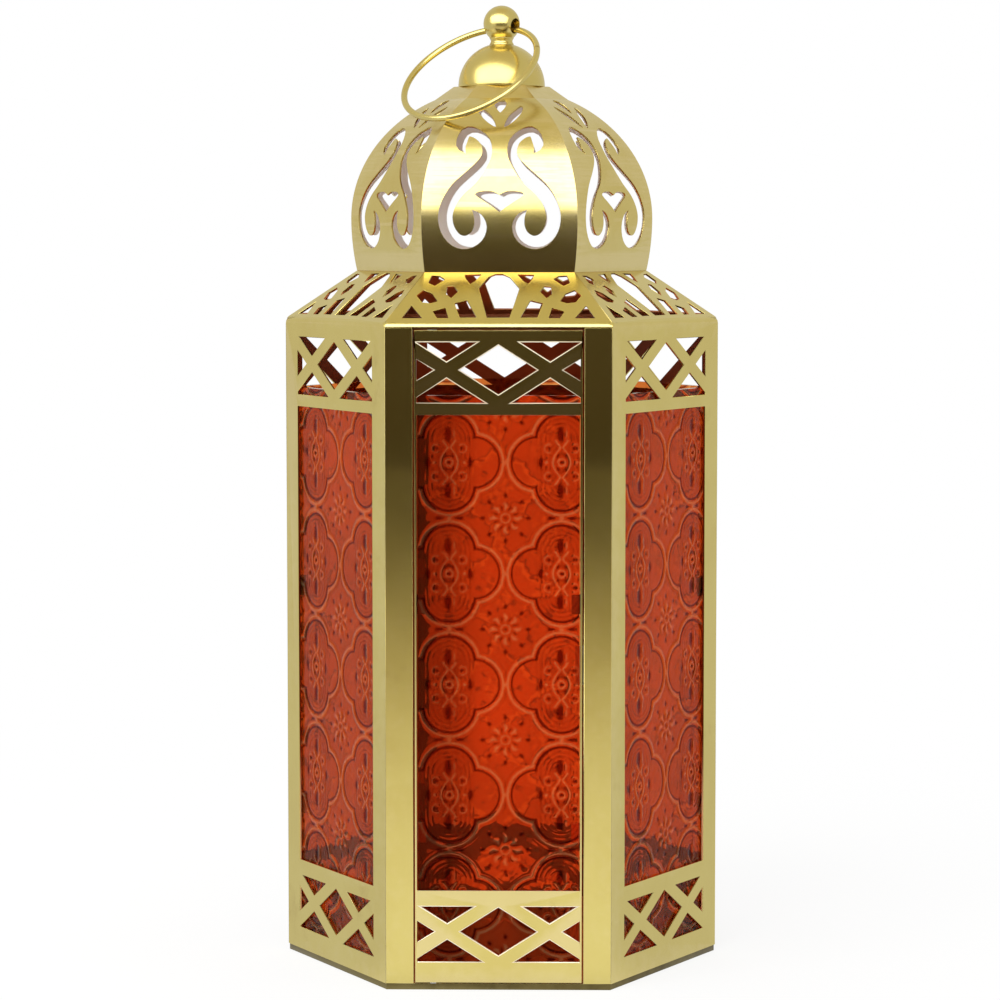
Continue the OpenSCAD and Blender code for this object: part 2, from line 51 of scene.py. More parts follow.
scene.view_settings.view_transform = "Standard"

mm = 0.001
sideTurn = math.radians(60)
halfTurn = math.radians(30)
bodyOf = {node: body for body, nodes in frame["record"]["behaviour"]["bodies"].items() for node in nodes}


# Working on one piece at a time
def pick(piece):
    bpy.ops.object.select_all(action="DESELECT")
    piece.select_set(True)
    bpy.context.view_layer.objects.active = piece


def editAll(piece):
    pick(piece)
    bpy.ops.object.mode_set(mode="EDIT")
    bpy.ops.mesh.select_all(action="SELECT")


def leaveEdit():
    bpy.ops.object.mode_set(mode="OBJECT")


def applyModifier(piece, kind, **settings):
    pick(piece)
    modifier = piece.modifiers.new(kind.lower(), kind)
    for key, value in settings.items():
        setattr(modifier, key, value)
    bpy.ops.object.modifier_apply(modifier=modifier.name)


def coords(piece):
    flat = np.empty(len(piece.data.vertices) * 3)
    piece.data.vertices.foreach_get("co", flat)
    return flat.reshape(-1, 3)


def setCoords(piece, points):
    piece.data.vertices.foreach_set("co", np.asarray(points, float).ravel())
    piece.data.update()


def mergedCopy(node, name, flatten=None):
    # a copy of a CAD node whose loose triangles are joined, and flat ones dissolved into one face
    piece = bpy.data.objects.new(name, frame["nodes"][node].data.copy())
    scene.collection.objects.link(piece)
    piece.data.materials.clear()
    editAll(piece)
    bpy.ops.mesh.customdata_custom_splitnormals_clear()
    bpy.ops.mesh.remove_doubles(threshold=0.004 * mm)
    if flatten:
        bpy.ops.mesh.dissolve_limited(angle_limit=math.radians(flatten))
    leaveEdit()
    return piece


def turnedCopy(piece, name, turn):
    twin = bpy.data.objects.new(name, piece.data.copy())
    scene.collection.objects.link(twin)
    twin.data.transform(Matrix.Rotation(turn, 4, "Z"))
    return twin


def roundEdges(piece, width, segments, sharper, keep=None, harden=False):
    # bevels the edges that are sharper than this many degrees and that keep() accepts
    mesh = bmesh.new()
    mesh.from_mesh(piece.data)
    layers = mesh.edges.layers.float
    weight = layers.get("bevel_weight_edge") or layers.new("bevel_weight_edge")
    for edge in mesh.edges:
        edge[weight] = 0
        if len(edge.link_faces) == 2 and edge.calc_face_angle() > math.radians(sharper):
            middle = (edge.verts[0].co + edge.verts[1].co) / 2
            if keep is None or keep(edge, middle):
                edge[weight] = 1
    mesh.to_mesh(piece.data)
    mesh.free()
    applyModifier(piece, "BEVEL", width=width, segments=segments, limit_method="WEIGHT",
                  miter_outer="MITER_SHARP", use_clamp_overlap=not harden, harden_normals=harden)


def shadeSmooth(piece, angle):
    pick(piece)
    bpy.ops.object.shade_smooth_by_angle(angle=math.radians(angle))


def stand(piece, node, *materials):
    # the piece takes the CAD node's place, body and finish slot
    for material in materials:
        piece.data.materials.append(material)
    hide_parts(node)
    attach(piece, bodyOf[node])


# Shader helpers
def newGroup(name, inputs, outputs):
    group = bpy.data.node_groups.new(name, "ShaderNodeTree")
    for label, kind, value in inputs:
        socket = group.interface.new_socket(label, in_out="INPUT", socket_type=kind)
        if value is not None:
            socket.default_value = value
    for label, kind in outputs:
        group.interface.new_socket(label, in_out="OUTPUT", socket_type=kind)
    return group, group.nodes.new("NodeGroupInput"), group.nodes.new("NodeGroupOutput")


def addNode(tree, kind, settings=None, **links):
    node = tree.nodes.new(kind)
    for key, value in (settings or {}).items():
        if hasattr(node, key):
            setattr(node, key, value)
        else:
            node.inputs[key].default_value = value
    for key, source in links.items():
        place = int(key[1:]) if key[0] == "i" and key[1:].isdigit() else key.replace("_", " ")
        tree.links.new(source, node.inputs[place])
    return node


def mathNode(tree, operation, first, second=None, clamp=False):
    node = tree.nodes.new("ShaderNodeMath")
    node.operation = operation
    node.use_clamp = clamp
    for place, value in enumerate((first, second)):
        if value is None:
            continue
        if isinstance(value, (int, float)):
            node.inputs[place].default_value = value
        else:
            tree.links.new(value, node.inputs[place])
    return node.outputs[0]


def blend(tree, factor, low, high):
    # a number that goes from low to high with a mask
    value = mathNode(tree, "MULTIPLY_ADD", factor, high - low)
    value.node.inputs[2].default_value = low
    return value


def mixColour(tree, factor, first, second):
    node = tree.nodes.new("ShaderNodeMix")
    node.data_type = "RGBA"
    for socket, value in ((node.inputs[0], factor), (node.inputs[6], first), (node.inputs[7], second)):
        if isinstance(value, (int, float)):
            socket.default_value = value
        elif isinstance(value, tuple):
            socket.default_value = (*value, 1)
        else:
            tree.links.new(value, socket)
    return node.outputs[2]


def ramp(tree, value, low, high):
    node = tree.nodes.new("ShaderNodeMapRange")
    node.interpolation_type = "SMOOTHSTEP"
    node.inputs["From Min"].default_value = low
    node.inputs["From Max"].default_value = high
    tree.links.new(value, node.inputs["Value"])
    return node.outputs[0]


surfaceLook = {
    "lines": {"Scale": 1.0, "Detail": 3.0, "Roughness": 0.6},
    "broad": {"Scale": 55.0, "Detail": 4.0, "Roughness": 0.55}, "broadFrom": 0.32, "broadTo": 0.72,
    "waves": {"Detail": 1.5, "Roughness": 0.4},
    "peel": {"Detail": 2.0, "Roughness": 0.5},
    "dots": {"Scale": 420.0, "Randomness": 1.0}, "dotFrom": 0.10, "dotTo": 0.04,
    "rub": {"Scale": 320.0, "Detail": 3.0}, "rubSpread": 0.05}


def makeGrainGroup(look):
    # fine lines left by rolling and wiping the sheet, level all round the lantern
    group, source, result = newGroup(
        "sheetGrain",
        [("Vector", "NodeSocketVector", None), ("Line Scale", "NodeSocketFloat", 5200.0),
         ("Length Scale", "NodeSocketFloat", 130.0)],
        [("Height", "NodeSocketFloat"), ("Mask", "NodeSocketFloat")])
    split = addNode(group, "ShaderNodeSeparateXYZ", i0=source.outputs["Vector"])
    flat = addNode(group, "ShaderNodeCombineXYZ",
                   i0=mathNode(group, "MULTIPLY", split.outputs[0], source.outputs["Length Scale"]),
                   i1=mathNode(group, "MULTIPLY", split.outputs[1], source.outputs["Length Scale"]),
                   i2=mathNode(group, "MULTIPLY", split.outputs[2], source.outputs["Line Scale"]))
    lines = addNode(group, "ShaderNodeTexNoise", look["lines"], Vector=flat.outputs[0])
    broad = addNode(group, "ShaderNodeTexNoise", look["broad"], Vector=source.outputs["Vector"])
    mask = ramp(group, broad.outputs[0], look["broadFrom"], look["broadTo"])
    group.links.new(lines.outputs[0], result.inputs["Height"])
    group.links.new(mask, result.inputs["Mask"])
    return group


def makeWaveGroup(look):
    # the gentle unevenness of thin hand-bent sheet
    group, source, result = newGroup(
        "sheetWaves", [("Vector", "NodeSocketVector", None), ("Scale", "NodeSocketFloat", 26.0)],
        [("Height", "NodeSocketFloat")])
    noise = addNode(group, "ShaderNodeTexNoise", look["waves"],
                    Vector=source.outputs["Vector"], Scale=source.outputs["Scale"])
    group.links.new(noise.outputs[0], result.inputs["Height"])
    return group


def makeSpeckGroup(look):
    # orange peel and dust specks in the lacquer
    group, source, result = newGroup(
        "lacquerSpecks", [("Vector", "NodeSocketVector", None), ("Scale", "NodeSocketFloat", 2600.0)],
        [("Height", "NodeSocketFloat"), ("Specks", "NodeSocketFloat")])
    peel = addNode(group, "ShaderNodeTexNoise", look["peel"],
                   Vector=source.outputs["Vector"], Scale=source.outputs["Scale"])
    dots = addNode(group, "ShaderNodeTexVoronoi", look["dots"], Vector=source.outputs["Vector"])
    specks = ramp(group, dots.outputs["Distance"], look["dotFrom"], look["dotTo"])
    group.links.new(peel.outputs[0], result.inputs["Height"])
    group.links.new(specks, result.inputs["Specks"])
    return group


def makeRubGroup(look):
    # the worn line along an edge that stands out
    group, source, result = newGroup(
        "edgeRub", [("Vector", "NodeSocketVector", None), ("Low", "NodeSocketFloat", 0.53),
                    ("High", "NodeSocketFloat", 0.62)],
        [("Mask", "NodeSocketFloat")])
    shape = addNode(group, "ShaderNodeNewGeometry")
    noise = addNode(group, "ShaderNodeTexNoise", look["rub"], Vector=source.outputs["Vector"])
    uneven = blend(group, noise.outputs[0], -look["rubSpread"], look["rubSpread"])
    total = mathNode(group, "ADD", shape.outputs["Pointiness"], uneven)
    span = addNode(group, "ShaderNodeMapRange", Value=total,
                   From_Min=source.outputs["Low"], From_Max=source.outputs["High"])
    group.links.new(span.outputs[0], result.inputs["Mask"])
    return group


grainGroup = makeGrainGroup(surfaceLook)
waveGroup = makeWaveGroup(surfaceLook)
speckGroup = makeSpeckGroup(surfaceLook)
rubGroup = makeRubGroup(surfaceLook)


def useGroup(tree, group, vector, **values):
    node = tree.nodes.new("ShaderNodeGroup")
    node.node_tree = group
    tree.links.new(vector, node.inputs["Vector"])
    for key, value in values.items():
        node.inputs[key.replace("_", " ")].default_value = value
    return node


def bumpNode(tree, height, distance, before=None):
    node = tree.nodes.new("ShaderNodeBump")
    node.inputs["Strength"].default_value = 1
    node.inputs["Distance"].default_value = distance
    tree.links.new(height, node.inputs["Height"])
    if before is not None:
        tree.links.new(before, node.inputs["Normal"])
    return node.outputs[0]


def newMaterial(name):
    material = bpy.data.materials.new(name)
    material.use_nodes = True
    tree = material.node_tree
    shader = tree.nodes["Principled BSDF"]
    place = tree.nodes.new("ShaderNodeTexCoord").outputs["Object"]
    return material, tree, shader, place


def makeMetal(name, look):
    # lacquered or bare metal with grain, waves, orange peel, stains and rubbed edges
    material, tree, shader, place = newMaterial(name)
    grain = useGroup(tree, grainGroup, place,
                     Line_Scale=look["lineScale"], Length_Scale=look["lengthScale"])
    waves = useGroup(tree, waveGroup, place, Scale=look["waveScale"])
    specks = useGroup(tree, speckGroup, place, Scale=look["peelScale"])
    rub = useGroup(tree, rubGroup, place)
    spots = {"Scale": look["stainScale"], "Detail": look["stainDetail"], "Roughness": look["stainBreak"]}
    stained = addNode(tree, "ShaderNodeTexNoise", spots, Vector=place)
    stain = ramp(tree, stained.outputs[0], look["stainFrom"], look["stainTo"])
    colour = mixColour(tree, grain.outputs["Mask"], look["colour"], look["second"])
    colour = mixColour(tree, mathNode(tree, "MULTIPLY", stain, look["stainShare"]), colour, look["stain"])
    colour = mixColour(tree, mathNode(tree, "MULTIPLY", specks.outputs["Specks"], look["speckShare"]),
                       colour, look["speck"])
    colour = mixColour(tree, mathNode(tree, "MULTIPLY", rub.outputs["Mask"], look["rubShare"], True),
                       colour, look["rub"])
    tree.links.new(colour, shader.inputs["Base Color"])
    spread = look["roughSpread"] / 2
    rough = blend(tree, grain.outputs["Height"], look["rough"] - spread, look["rough"] + spread)
    rough = mathNode(tree, "ADD", rough, mathNode(tree, "MULTIPLY", stain, look["stainRough"]))
    tree.links.new(rough, shader.inputs["Roughness"])
    normal = bumpNode(tree, waves.outputs["Height"], look["waveHeight"])
    normal = bumpNode(tree, specks.outputs["Height"], look["peelHeight"], normal)
    normal = bumpNode(tree, grain.outputs["Height"], look["grainHeight"], normal)
    tree.links.new(normal, shader.inputs["Normal"])
    shader.inputs["Metallic"].default_value = look["metallic"]
    # a paler, less metallic band towards the bottom of the piece: painted light
    if "lowLightColour" in look:
        height = addNode(tree, "ShaderNodeSeparateXYZ", i0=place).outputs[2]
        low = ramp(tree, height, look["lowFrom"], look["lowTo"])
        tree.links.new(mixColour(tree, low, colour, look["lowLightColour"]), shader.inputs["Base Color"])
        tree.links.new(blend(tree, low, look["metallic"], look["lowLightMetallic"]), shader.inputs["Metallic"])
    return material


satinLook = {
    "colour": (0.70, 0.58, 0.190), "second": (0.67, 0.545, 0.170), "metallic": 1.0,
    "rough": 0.165, "roughSpread": 0.05, "lineScale": 5200.0, "lengthScale": 130.0,
    "waveScale": 24.0, "waveHeight": 0.16 * mm, "peelScale": 2600.0, "peelHeight": 0.0016 * mm,
    "grainHeight": 0.0017 * mm, "stain": (0.40, 0.27, 0.07), "stainScale": 38.0, "stainDetail": 5.0,
    "stainBreak": 0.62, "stainFrom": 0.60, "stainTo": 0.78, "stainShare": 0.35, "stainRough": 0.05,
    "speck": (0.30, 0.22, 0.08), "speckShare": 0.10, "rub": (0.84, 0.70, 0.40), "rubShare": 0.35}
glossLook = dict(
    satinLook, colour=(0.69, 0.57, 0.205), second=(0.66, 0.53, 0.170), rough=0.225, roughSpread=0.012,
    waveScale=18.0, waveHeight=0.030 * mm, grainHeight=0.00006 * mm, peelHeight=0.0008 * mm,
    stain=(0.60, 0.42, 0.13), stainScale=30.0, stainFrom=0.60, stainTo=0.80, stainShare=0.30)
capLook = dict(glossLook, rough=0.255)
# painted light: the gores' inside is near white and not metallic, so that it shows bright through the
# dome's openings though it lies in shade
litInsideLook = dict(
    satinLook, colour=(0.95, 0.94, 0.90), second=(0.92, 0.90, 0.84), metallic=0.0,
    rough=0.55, roughSpread=0.08, stain=(0.80, 0.74, 0.60), stainShare=0.25,
    rub=(0.96, 0.94, 0.90), rubShare=0.2)
# painted highlight: the punched edges round the door's openings are a pale cream, for the light their
# rounded edges catch
edgeHighlightLook = dict(
    satinLook, colour=(0.93, 0.82, 0.62), second=(0.90, 0.76, 0.52), metallic=0.35,
    rough=0.42, roughSpread=0.08, stain=(0.70, 0.52, 0.28), stainShare=0.30,
    rub=(0.96, 0.88, 0.72), rubShare=0.2)
# painted shade: the inside of the sheet and the small pieces inside are coloured a dark maroon, the shade
# behind the red glass
innerShadeLook = dict(
    satinLook, colour=(0.24, 0.058, 0.018), second=(0.19, 0.040, 0.013), rough=0.42, roughSpread=0.10,
    stain=(0.12, 0.03, 0.012), stainShare=0.35, rub=(0.70, 0.52, 0.28), rubShare=0.2)
# painted light: the inside turns paler and less metallic towards the bottom, fully so below 46 mm
lowInnerLook = dict(
    innerShadeLook, lowLightColour=(0.86, 0.50, 0.24), lowLightMetallic=0.25, lowFrom=74 * mm, lowTo=46 * mm)
# painted shade: the roof's inside is coloured a red-brown, a little lighter than the walls' inside
underRoofShadeLook = dict(
    innerShadeLook, colour=(0.52, 0.17, 0.055), second=(0.44, 0.13, 0.040), metallic=0.30, rough=0.50,
    stain=(0.26, 0.08, 0.03))
# painted shade: the base tray is coloured a near-black olive gold, the shade under the walls
baseShadeLook = dict(
    satinLook, colour=(0.15, 0.115, 0.040), second=(0.10, 0.075, 0.026), rough=0.33, stainShare=0.7,
    stain=(0.05, 0.035, 0.015), rub=(0.40, 0.33, 0.14))
# painted light: the tray's floor inside the walls is pale and half metallic, far lighter than the base's
# painted shade
trayLightLook = dict(
    satinLook, colour=(0.86, 0.70, 0.42), second=(0.80, 0.62, 0.34), metallic=0.45,
    rough=0.42, roughSpread=0.08, stain=(0.50, 0.34, 0.15), stainShare=0.35)
steelLook = dict(
    satinLook, colour=(0.56, 0.55, 0.52), second=(0.46, 0.45, 0.43), rough=0.32, stain=(0.30, 0.22, 0.15),
    stainShare=0.45, speck=(0.2, 0.16, 0.12), rub=(0.72, 0.71, 0.69))

satinGold = makeMetal("satinGold", satinLook)
glossGold = makeMetal("glossGold", glossLook)
capGold = makeMetal("capGold", capLook)
paleLitInside = makeMetal("paleLitInside", litInsideLook)
creamEdgeHighlight = makeMetal("creamEdgeHighlight", edgeHighlightLook)
underRoofShade = makeMetal("underRoofShade", underRoofShadeLook)
trayFloorLight = makeMetal("trayFloorLight", trayLightLook)
innerPaintedShading = makeMetal("innerPaintedShading", lowInnerLook)
baseShadeGold = makeMetal("baseShadeGold", baseShadeLook)
plainSteel = makeMetal("plainSteel", steelLook)
print("metal finishes made")


# deep is the glass's painted shade in the hollows, bright its painted highlight on the ribs
glassLook = {
    "deep": (0.090, 0.005, 0.003), "bright": (1.0, 0.60, 0.26), "through": 0.93, "ior": 1.17,
    "deepFrom": 0.45, "deepTo": 0.98, "brightFrom": 0.32, "brightTo": 0.02,
    "rough": 0.07, "shine": (0.42, 0.17, 0.07), "peelScale": 900.0, "peelHeight": 0.004 * mm,
    "cloud": {"Scale": 30.0, "Detail": 4.0, "Roughness": 0.6}, "cloudFrom": 0.30, "cloudTo": 0.75,
    "cloudShade": 0.82, "leftShade": 0.0, "dimFrom": -3 * mm, "dimTo": -20 * mm, "dimWander": 7 * mm}


def makeGlass(name, look):
    # red glass, darker in the hollows as painted shade and paler on the ribs as painted highlight
    material, tree, shader, place = newMaterial(name)
    depth = addNode(tree, "ShaderNodeAttribute", {"attribute_name": "glassShadingDepth"}).outputs["Fac"]
    uneven = addNode(tree, "ShaderNodeTexNoise", look["cloud"], Vector=place)
    cloud = ramp(tree, uneven.outputs[0], look["cloudFrom"], look["cloudTo"])
    hollow = ramp(tree, depth, look["deepFrom"], look["deepTo"])
    rib = ramp(tree, depth, look["brightFrom"], look["brightTo"])
    colour = mixColour(tree, cloud, look["clear"], tuple(c * look["cloudShade"] for c in look["clear"]))
    colour = mixColour(tree, hollow, colour, look["deep"])
    colour = mixColour(tree, rib, colour, look["bright"])
    # painted shade: the glass darkens towards its left side, along a wandering edge
    if look["leftShade"]:
        across = addNode(tree, "ShaderNodeSeparateXYZ", i0=place).outputs[0]
        wander = blend(tree, uneven.outputs[0], -look["dimWander"], look["dimWander"])
        side = ramp(tree, mathNode(tree, "ADD", across, wander), look["dimFrom"], look["dimTo"])
        colour = mixColour(tree, mathNode(tree, "MULTIPLY", side, look["leftShade"]), colour, look["deep"])
    tree.links.new(colour, shader.inputs["Base Color"])
    peel = useGroup(tree, speckGroup, place, Scale=look["peelScale"])
    tree.links.new(bumpNode(tree, peel.outputs["Height"], look["peelHeight"]), shader.inputs["Normal"])
    shader.inputs["Roughness"].default_value = look["rough"]
    shader.inputs["IOR"].default_value = look["ior"]
    shader.inputs["Specular Tint"].default_value = (*look["shine"], 1)
    shader.inputs["Transmission Weight"].default_value = look["through"]
    return material


sideGlassLook = dict(glassLook, clear=(0.72, 0.192, 0.036))
# the door glass carries painted shade on its left side
doorGlassLook = dict(glassLook, clear=(0.86, 0.152, 0.034), leftShade=0.50)

sideGlass = makeGlass("sideGlass", sideGlassLook)
doorGlassFinish = makeGlass("doorGlassFinish", doorGlassLook)
print("glass finishes made")


# Camera, at the place and angle of the photograph
cameraLook = {
    "place": (18.5 * mm, -1112.3 * mm, 235.35 * mm), "down": 4.56, "left": 0.98,
    "lens": 124.8, "sensor": 36}
bpy.ops.object.camera_add(
    location=cameraLook["place"],
    rotation=(math.radians(90 - cameraLook["down"]), 0, math.radians(cameraLook["left"])))
camera = bpy.context.object
camera.data.lens = cameraLook["lens"]
camera.data.sensor_width = cameraLook["sensor"]
scene.camera = camera

# Studio: a pale floor, a white surround, and cards that only reflections see
studioLook = {
    "white": (1.0, 1.0, 1.0), "surround": 1.0, "fill": 0.95, "mirrored": 0.75,
    "mirroredTint": (1.0, 0.97, 0.86),
    "floorSize": 8, "floorColour": (0.90, 0.90, 0.89), "floorRough": 0.9,
    "floorShade": 0.17, "floorNear": 0.12, "floorFar": 0.55,
    "floorGlow": (1.09, 0.03), "floorGlowSpan": (0.12, 1.75), "floorWarm": (1.0, 0.76, 0.36),
    "aheadSpan": (-0.02, -0.10), "asideSpan": (0.9, 0.5)}
keyLook = {"place": (-0.55, -0.85, 1.15), "facing": (0, 0, 0.12), "size": 0.9, "power": 9.0}
cardLook = {
    "darkCard": {
        "place": (0.0, -1.30, 0.195), "facing": (0.0, 0.0, 0.195), "size": (1.9, 0.39),
        "glow": (0.046, 0.032, 0.011)},
    "lowFlag": {
        "place": (0.0, -0.105, 0.190), "facing": (0.0, 0.0, 0.190), "size": (0.22, 0.073),
        "glow": (0.050, 0.033, 0.011)},
    "ceilingCard": {
        "place": (0.0, 0.0, 2.2), "facing": (0.0, 0.0, 0.0), "size": (1.6, 1.6),
        "glow": (0.74, 0.67, 0.50)}}
softBoxLook = {
    "middle": (0, 0, 0.25), "distance": 1.15, "turn": -19.0, "tilt": 34.0, "size": (2.9, 1.12),
    "glow": (1, 1, 1), "strength": 3.6}


def rayKinds(tree):
    # a mask for camera and transmission rays, and one for rays that only a mirror sends
    rays = tree.nodes.new("ShaderNodeLightPath").outputs
    direct = mathNode(tree, "MAXIMUM", rays["Is Camera Ray"], rays["Is Transmission Ray"])
    mirrored = mathNode(tree, "SUBTRACT", rays["Is Glossy Ray"], rays["Is Transmission Ray"], True)
    return direct, mirrored


def makeSurround(look):
    world = bpy.data.worlds.new("whiteRoom")
    scene.world = world
    world.use_nodes = True
    tree = world.node_tree
    sky = tree.nodes["Background"].inputs
    direct, mirrored = rayKinds(tree)
    strength = mathNode(tree, "ADD", blend(tree, direct, look["fill"], look["surround"]),
                        mathNode(tree, "MULTIPLY", mirrored, look["mirrored"] - look["fill"]))
    tree.links.new(mixColour(tree, mirrored, look["white"], look["mirroredTint"]), sky["Color"])
    tree.links.new(strength, sky["Strength"])


def makeFloor(look):
    # a pale floor that takes the shadow, and that the metal mirrors with a warm fall-off in front
    bpy.ops.mesh.primitive_plane_add(size=look["floorSize"])
    floor = bpy.context.object
    floor.name = "paleFloor"
    material, tree, shader, place = newMaterial("paleFloor")
    shader.inputs["Base Color"].default_value = (*look["floorColour"], 1)
    shader.inputs["Roughness"].default_value = look["floorRough"]
    shader.inputs["Specular IOR Level"].default_value = 0.0
    direct, mirrored = rayKinds(tree)
    away = addNode(tree, "ShaderNodeVectorMath", {"operation": "LENGTH"}, i0=place).outputs["Value"]
    split = addNode(tree, "ShaderNodeSeparateXYZ", i0=place)
    ahead = ramp(tree, split.outputs[1], *look["aheadSpan"])
    aside = ramp(tree, mathNode(tree, "ABSOLUTE", split.outputs[0]), *look["asideSpan"])
    front = mathNode(tree, "MULTIPLY", ahead, aside)
    far = ramp(tree, away, *look["floorGlowSpan"])
    excess = mathNode(tree, "SUBTRACT", blend(tree, far, *look["floorGlow"]), look["mirrored"])
    pool = mathNode(tree, "ADD", mathNode(tree, "MULTIPLY", front, excess), look["mirrored"])
    strength = mathNode(tree, "ADD", direct, mathNode(tree, "MULTIPLY", mirrored, pool))
    warm = mathNode(tree, "MULTIPLY", mathNode(tree, "MULTIPLY", mirrored, front), far)
    glow = addNode(tree, "ShaderNodeEmission", Strength=strength,
                   Color=mixColour(tree, warm, look["white"], look["floorWarm"]))
    whiter = blend(tree, ramp(tree, away, look["floorNear"], look["floorFar"]), 1 - look["floorShade"], 1.0)
    share = mathNode(tree, "ADD", mathNode(tree, "MULTIPLY", direct, whiter), mirrored, True)
    mixed = addNode(tree, "ShaderNodeMixShader", i0=share, i1=shader.outputs[0], i2=glow.outputs[0])
    tree.links.new(mixed.outputs[0], tree.nodes["Material Output"].inputs["Surface"])
    floor.data.materials.append(material)


def turnTo(start, end):
    # the turn that points Z from one place to another
    return (Vector(end) - Vector(start)).to_track_quat("Z", "Y").to_euler()


def makeKey(look):
    bpy.ops.object.light_add(type="AREA", location=look["place"])
    key = bpy.context.object
    key.name = "softKey"
    key.data.size = look["size"]
    key.data.energy = look["power"]
    key.rotation_euler = turnTo(look["facing"], look["place"])
    key.visible_glossy = False
    key.visible_transmission = False


def makeCard(name, place, facing, size, glow, strength=1.0):
    # a glowing card that only reflections see
    bpy.ops.mesh.primitive_plane_add(size=1, location=place)
    card = bpy.context.object
    card.name = name
    card.scale = (*size, 1)
    card.rotation_euler = turnTo(place, facing)
    material = bpy.data.materials.new(name)
    material.use_nodes = True
    tree = material.node_tree
    tree.nodes.remove(tree.nodes["Principled BSDF"])
    light = addNode(tree, "ShaderNodeEmission", {"Color": (*glow, 1), "Strength": strength})
    tree.links.new(light.outputs[0], tree.nodes["Material Output"].inputs["Surface"])
    card.data.materials.append(material)
    card.visible_camera = False
    card.visible_diffuse = False
    card.visible_transmission = False
    card.visible_shadow = False
    card.visible_volume_scatter = False


def makeSoftBox(look):
    # a bright card above the front left, turned to the lantern
    turn, tilt, middle = math.radians(look["turn"]), math.radians(look["tilt"]), Vector(look["middle"])
    away = Vector((math.sin(turn) * math.cos(tilt), -math.cos(turn) * math.cos(tilt), math.sin(tilt)))
    place = middle + look["distance"] * away
    makeCard("softBox", place, middle, look["size"], look["glow"], look["strength"])


makeSurround(studioLook)
makeFloor(studioLook)
makeKey(keyLook)
for name, settings in cardLook.items():
    makeCard(name, **settings)
makeSoftBox(softBoxLook)
print("camera and studio made")


# Pressed glass: four-lobed medallions with crossed strands and drops, and a rosette between them
paneLook = {
    "cell": 0.34, "pitchAcross": 34.3, "pitchUp": 34.1, "firstAcross": -15.0, "firstUp": 60.5,
    "ovalRadius": 8.4, "ovalReach": 15.4, "lobeRadius": 8.2, "lobeReach": 15.8,
    "rib": 0.25, "groove": 0.15, "unevenness": 0.03, "headroom": 1.6, "rimFade": 1.2,
    "ovalTone": 0.16, "plain": 0.42, "smooth": 50}


def wrapped(value, pitch):
    return (value + pitch / 2) % pitch - pitch / 2


def hill(value, width):
    return np.exp(-(value / width) ** 2)


def stadium(across, along, radius, reach):
    return np.hypot(across, np.maximum(np.abs(along) - (reach - radius), 0)) - radius


def blob(across, up, wide, tall):
    return np.exp(-(across / wide) ** 2 - (up / tall) ** 2)


